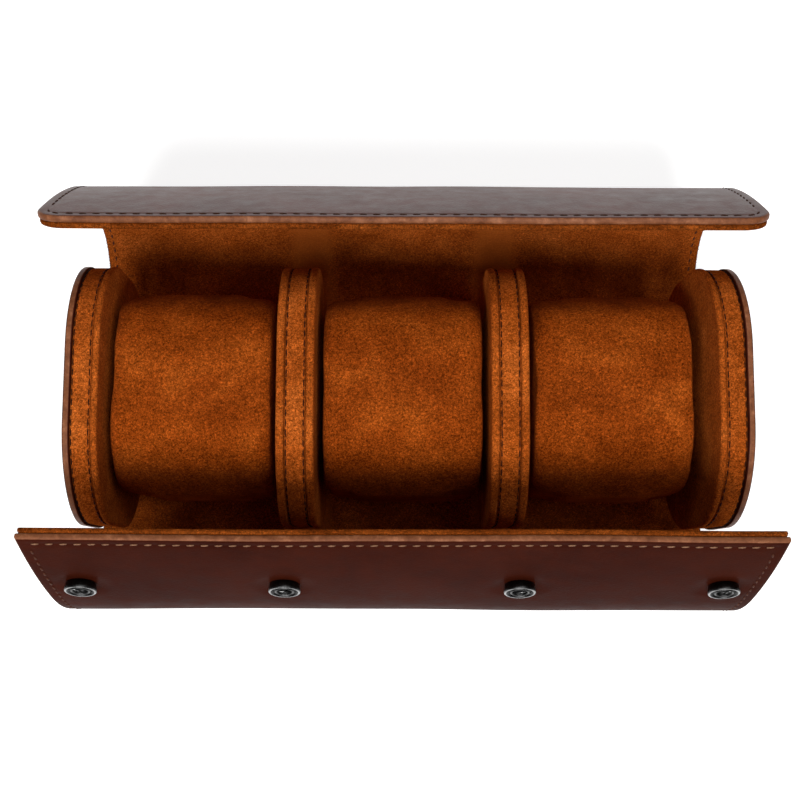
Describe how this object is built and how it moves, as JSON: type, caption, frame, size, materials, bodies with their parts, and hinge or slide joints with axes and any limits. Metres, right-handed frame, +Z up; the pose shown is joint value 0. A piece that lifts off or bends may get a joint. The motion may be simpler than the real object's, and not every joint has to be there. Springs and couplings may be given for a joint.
{
  "type": "watch roll",
  "caption": "Travel watch roll standing open: lined leather wrap with a front flap and a lid on snaps, rounded end panels and dividers, and lift-out suede pillows.",
  "frame": {"origin": "on the underside of the base, midway between the end panels", "axes": "+X along the roll to its right end, +Y towards the lid, +Z up"},
  "size_m": [0.203, 0.1319, 0.108],
  "materials": {
    "brown_leather": "smooth polished, burnished cut edges",
    "rust_suede": "brushed suede nap",
    "pillow_suede": "brushed suede nap, darker",
    "board": "bare",
    "foam": "open-cell foam",
    "gunmetal": "dark plated, polished rims"
  },
  "bodies": {
    "case": {"leather_base": "brown_leather", "lining_base": "rust_suede", "left_end_leather": "brown_leather", "left_end_strip": "rust_suede", "left_end_board": "board", "left_end_suede": "rust_suede", "right_end_leather": "brown_leather", "right_end_strip": "rust_suede", "right_end_board": "board", "right_end_suede": "rust_suede", "left_divider_left_face": "rust_suede", "left_divider_strip": "rust_suede", "left_divider_board": "board", "left_divider_right_face": "rust_suede", "right_divider_left_face": "rust_suede", "right_divider_strip": "rust_suede", "right_divider_board": "board", "right_divider_right_face": "rust_suede"},
    "front_corner": {"leather_front_corner": "brown_leather", "lining_front_corner": "rust_suede"},
    "front_wall": {"leather_front_wall": "brown_leather", "lining_front_wall": "rust_suede"},
    "front_bend": {"leather_front_bend": "brown_leather", "lining_front_bend": "rust_suede"},
    "front_flap": {"leather_front_flap": "brown_leather", "lining_front_flap": "rust_suede", "snap_socket_1": "gunmetal", "snap_socket_2": "gunmetal", "snap_socket_3": "gunmetal", "snap_socket_4": "gunmetal", "snap_rivet_1": "gunmetal", "snap_rivet_2": "gunmetal", "snap_rivet_3": "gunmetal", "snap_rivet_4": "gunmetal"},
    "back_corner": {"leather_back_corner": "brown_leather", "lining_back_corner": "rust_suede"},
    "back_wall": {"leather_back_wall": "brown_leather", "lining_back_wall": "rust_suede"},
    "back_bend": {"leather_back_bend": "brown_leather", "lining_back_bend": "rust_suede"},
    "lid": {"leather_lid": "brown_leather", "lining_lid": "rust_suede", "snap_stud_1": "gunmetal", "snap_stud_2": "gunmetal", "snap_stud_3": "gunmetal", "snap_stud_4": "gunmetal"},
    "left_pillow": {"left_pillow_sleeve": "pillow_suede", "left_pillow_foam": "foam", "left_pillow_left_disc": "pillow_suede", "left_pillow_right_disc": "pillow_suede"},
    "middle_pillow": {"middle_pillow_sleeve": "pillow_suede", "middle_pillow_foam": "foam", "middle_pillow_left_disc": "pillow_suede", "middle_pillow_right_disc": "pillow_suede"},
    "right_pillow": {"right_pillow_sleeve": "pillow_suede", "right_pillow_foam": "foam", "right_pillow_left_disc": "pillow_suede", "right_pillow_right_disc": "pillow_suede"}
  },
  "joints": [
    {"name": "front_close", "type": "hinge", "parent": "case", "child": "front_corner", "pos_m": [0, -0.02, 0.0037], "axis": [-1, 0, 0], "range_deg": [0, 33]},
    {"name": "front_wall_bend", "type": "hinge", "parent": "front_corner", "child": "front_wall", "pos_m": [0, -0.06058, 0.0182], "axis": [-1, 0, 0], "range_deg": [-13.62, 0]},
    {"name": "front_shoulder_bend", "type": "hinge", "parent": "front_wall", "child": "front_bend", "pos_m": [0, -0.06128, 0.04181], "axis": [-1, 0, 0], "range_deg": [0, 14.04]},
    {"name": "front_flap_bend", "type": "hinge", "parent": "front_bend", "child": "front_flap", "pos_m": [0, -0.05843, 0.06542], "axis": [-1, 0, 0], "range_deg": [0, 35.68]},
    {"name": "lid_close", "type": "hinge", "parent": "case", "child": "back_corner", "pos_m": [0, 0.022, 0.0037], "axis": [1, 0, 0], "range_deg": [0, 39.4]},
    {"name": "back_wall_bend", "type": "hinge", "parent": "back_corner", "child": "back_wall", "pos_m": [0, 0.06358, 0.01917], "axis": [1, 0, 0], "range_deg": [-24.8, 0]},
    {"name": "back_shoulder_bend", "type": "hinge", "parent": "back_wall", "child": "back_bend", "pos_m": [0, 0.06317, 0.03887], "axis": [1, 0, 0], "range_deg": [0, 11.47]},
    {"name": "lid_bend", "type": "hinge", "parent": "back_bend", "child": "lid", "pos_m": [0, 0.05572, 0.07011], "axis": [1, 0, 0], "range_deg": [0, 35.23]},
    {"name": "left_pillow_slide", "type": "slide", "parent": "case", "child": "left_pillow", "axis": [0, 0, -1], "range_m": [-0.08, 0]},
    {"name": "middle_pillow_slide", "type": "slide", "parent": "case", "child": "middle_pillow", "axis": [0, 0, -1], "range_m": [-0.08, 0]},
    {"name": "right_pillow_slide", "type": "slide", "parent": "case", "child": "right_pillow", "axis": [0, 0, -1], "range_m": [-0.08, 0]}
  ],
  "couplings": [
    {"joint": "front_wall_bend", "follows": "front_close", "ratio": -0.41233},
    {"joint": "front_shoulder_bend", "follows": "front_close", "ratio": 0.42522},
    {"joint": "front_flap_bend", "follows": "front_close", "ratio": 1.081},
    {"joint": "back_wall_bend", "follows": "lid_close", "ratio": -0.62916},
    {"joint": "back_shoulder_bend", "follows": "lid_close", "ratio": 0.29074},
    {"joint": "lid_bend", "follows": "lid_close", "ratio": 0.89393}
  ]
}
